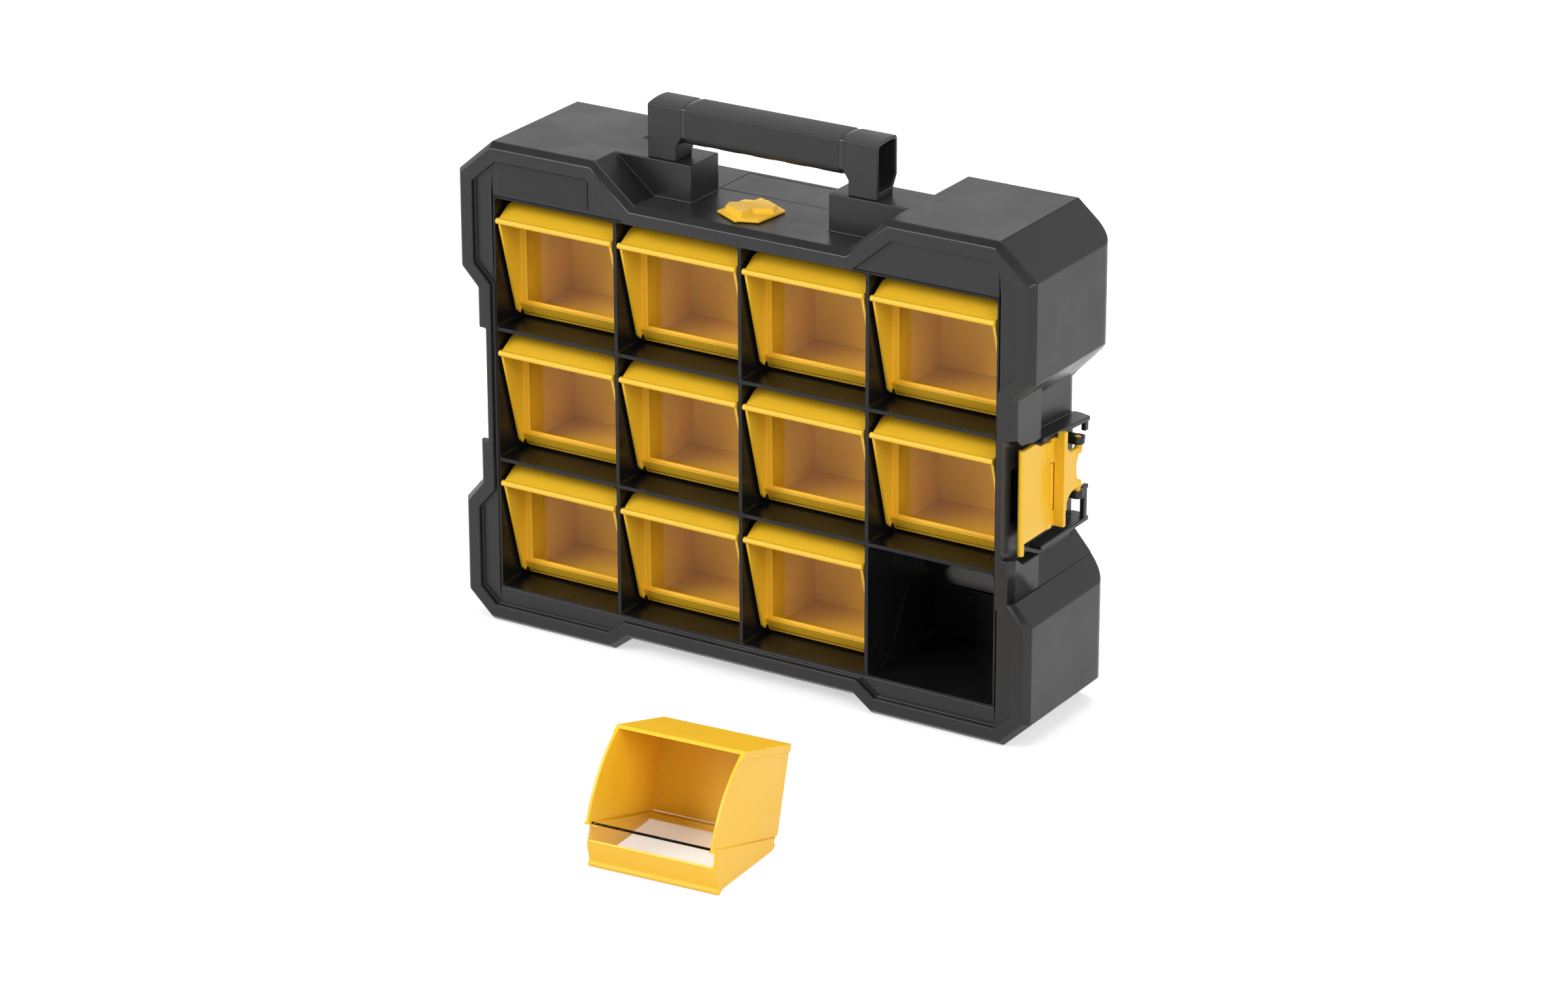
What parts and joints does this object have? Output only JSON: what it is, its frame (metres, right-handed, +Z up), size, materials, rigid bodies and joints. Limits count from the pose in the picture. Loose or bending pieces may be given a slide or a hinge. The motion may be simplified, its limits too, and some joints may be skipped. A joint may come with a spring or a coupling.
{
  "type": "flip bin organizer",
  "caption": "Carrying case with a grid of tilting bins behind clear panes, a grip handle, a turning lock knob and a side latch; a loose bin stands in front of its empty cell.",
  "frame": {"origin": "on the floor, under the middle of the box round the case and its loose bin", "axes": "+X to the right of someone facing the bins, +Y towards the back, +Z up; the bins face -Y"},
  "size_m": [0.4282, 0.3856, 0.372],
  "materials": {
    "case_black": "satin",
    "grid_black": "semi-gloss",
    "handle_grey": "fine texture",
    "grip_soft": "fine texture",
    "plate_grey": "satin",
    "bin_yellow": "semi-gloss",
    "latch_yellow": "semi-gloss",
    "knob_yellow": "semi-gloss",
    "pane_clear": "clear plastic",
    "pale_plastic": "plain",
    "steel": "plain"
  },
  "bodies": {
    "case": {"case_top": "case_black", "case_base": "case_black", "upper_pod_left": "case_black", "upper_pod_right": "case_black", "lower_pod_left": "case_black", "lower_pod_right": "case_black", "catch_plate": "case_black", "tray_left": "grid_black", "tray_right": "grid_black", "tray_roof": "grid_black", "tray_floor": "grid_black", "tray_back": "grid_black", "pivot_pins": "grid_black", "cell_divider_1": "grid_black", "cell_divider_2": "grid_black", "cell_divider_3": "grid_black", "cell_shelf_1": "grid_black", "cell_shelf_2": "grid_black", "rear_panel": "case_black", "rear_screws": "steel", "rear_top_cover": "case_black", "name_plate": "plate_grey", "handle_bail": "handle_grey", "handle_grip": "grip_soft", "handle_screws": "steel", "latch_bracket": "case_black"},
    "lock_knob": {"lock_knob": "knob_yellow", "lock_pinion": "pale_plastic", "lock_screw": "steel"},
    "lock_slide": {"lock_slide": "pale_plastic"},
    "latch_lever": {"latch_lever": "latch_yellow", "latch_pin": "steel"},
    "latch_hook": {"latch_hook": "latch_yellow"},
    "bin_r1c1": {"bin_tub_r1c1": "bin_yellow", "bin_window_r1c1": "pane_clear"},
    "bin_r1c2": {"bin_tub_r1c2": "bin_yellow", "bin_window_r1c2": "pane_clear"},
    "bin_r1c3": {"bin_tub_r1c3": "bin_yellow", "bin_window_r1c3": "pane_clear"},
    "bin_r1c4": {"bin_tub_r1c4": "bin_yellow", "bin_window_r1c4": "pane_clear"},
    "bin_r2c1": {"bin_tub_r2c1": "bin_yellow", "bin_window_r2c1": "pane_clear"},
    "bin_r2c2": {"bin_tub_r2c2": "bin_yellow", "bin_window_r2c2": "pane_clear"},
    "bin_r2c3": {"bin_tub_r2c3": "bin_yellow", "bin_window_r2c3": "pane_clear"},
    "bin_r2c4": {"bin_tub_r2c4": "bin_yellow", "bin_window_r2c4": "pane_clear"},
    "bin_r3c1": {"bin_tub_r3c1": "bin_yellow", "bin_window_r3c1": "pane_clear"},
    "bin_r3c2": {"bin_tub_r3c2": "bin_yellow", "bin_window_r3c2": "pane_clear"},
    "bin_r3c3": {"bin_tub_r3c3": "bin_yellow", "bin_window_r3c3": "pane_clear"},
    "bin_r3c4": {"bin_tub_r3c4": "bin_yellow", "bin_window_r3c4": "pane_clear"}
  },
  "joints": [
    {"name": "knob_turn", "type": "hinge", "parent": "case", "child": "lock_knob", "pos_m": [-0.0085, 0.12228, 0.3096], "axis": [0, 0, 1], "range_deg": [0, 60]},
    {"name": "lock_travel", "type": "slide", "parent": "case", "child": "lock_slide", "axis": [0, 1, 0], "range_m": [-0.0075, 0]},
    {"name": "lever_swing", "type": "hinge", "parent": "case", "child": "latch_lever", "pos_m": [0.2075, 0.16228, 0.16105], "axis": [0, 0, 1], "range_deg": [0, 100]},
    {"name": "hook_swing", "type": "hinge", "parent": "latch_lever", "child": "latch_hook", "pos_m": [0.1992, 0.14148, 0.16105], "axis": [0, 0, 1], "range_deg": [0, 45]},
    {"name": "bin_r1c1_tilt", "type": "hinge", "parent": "case", "child": "bin_r1c1", "pos_m": [-0.141, 0.11878, 0.2116], "axis": [1, 0, 0], "range_deg": [0, 45]},
    {"name": "bin_r1c2_tilt", "type": "hinge", "parent": "case", "child": "bin_r1c2", "pos_m": [-0.047, 0.11878, 0.2116], "axis": [1, 0, 0], "range_deg": [0, 45]},
    {"name": "bin_r1c3_tilt", "type": "hinge", "parent": "case", "child": "bin_r1c3", "pos_m": [0.047, 0.11878, 0.2116], "axis": [1, 0, 0], "range_deg": [0, 45]},
    {"name": "bin_r1c4_tilt", "type": "hinge", "parent": "case", "child": "bin_r1c4", "pos_m": [0.141, 0.11878, 0.2116], "axis": [1, 0, 0], "range_deg": [0, 45]},
    {"name": "bin_r2c1_tilt", "type": "hinge", "parent": "case", "child": "bin_r2c1", "pos_m": [-0.141, 0.11878, 0.1206], "axis": [1, 0, 0], "range_deg": [0, 45]},
    {"name": "bin_r2c2_tilt", "type": "hinge", "parent": "case", "child": "bin_r2c2", "pos_m": [-0.047, 0.11878, 0.1206], "axis": [1, 0, 0], "range_deg": [0, 45]},
    {"name": "bin_r2c3_tilt", "type": "hinge", "parent": "case", "child": "bin_r2c3", "pos_m": [0.047, 0.11878, 0.1206], "axis": [1, 0, 0], "range_deg": [0, 45]},
    {"name": "bin_r2c4_tilt", "type": "hinge", "parent": "case", "child": "bin_r2c4", "pos_m": [0.141, 0.11878, 0.1206], "axis": [1, 0, 0], "range_deg": [0, 45]},
    {"name": "bin_r3c1_tilt", "type": "hinge", "parent": "case", "child": "bin_r3c1", "pos_m": [-0.141, 0.11878, 0.0296], "axis": [1, 0, 0], "range_deg": [0, 45]},
    {"name": "bin_r3c2_tilt", "type": "hinge", "parent": "case", "child": "bin_r3c2", "pos_m": [-0.047, 0.11878, 0.0296], "axis": [1, 0, 0], "range_deg": [0, 45]},
    {"name": "bin_r3c3_tilt", "type": "hinge", "parent": "case", "child": "bin_r3c3", "pos_m": [0.047, 0.11878, 0.0296], "axis": [1, 0, 0], "range_deg": [0, 45]},
    {"name": "bin_r3c4_lift", "type": "slide", "parent": "case", "child": "bin_r3c4", "axis": [0, 0, 1], "range_m": [0, 0.15]}
  ],
  "couplings": [
    {"joint": "lock_travel", "follows": "knob_turn", "m_per_rad": -0.0063}
  ]
}
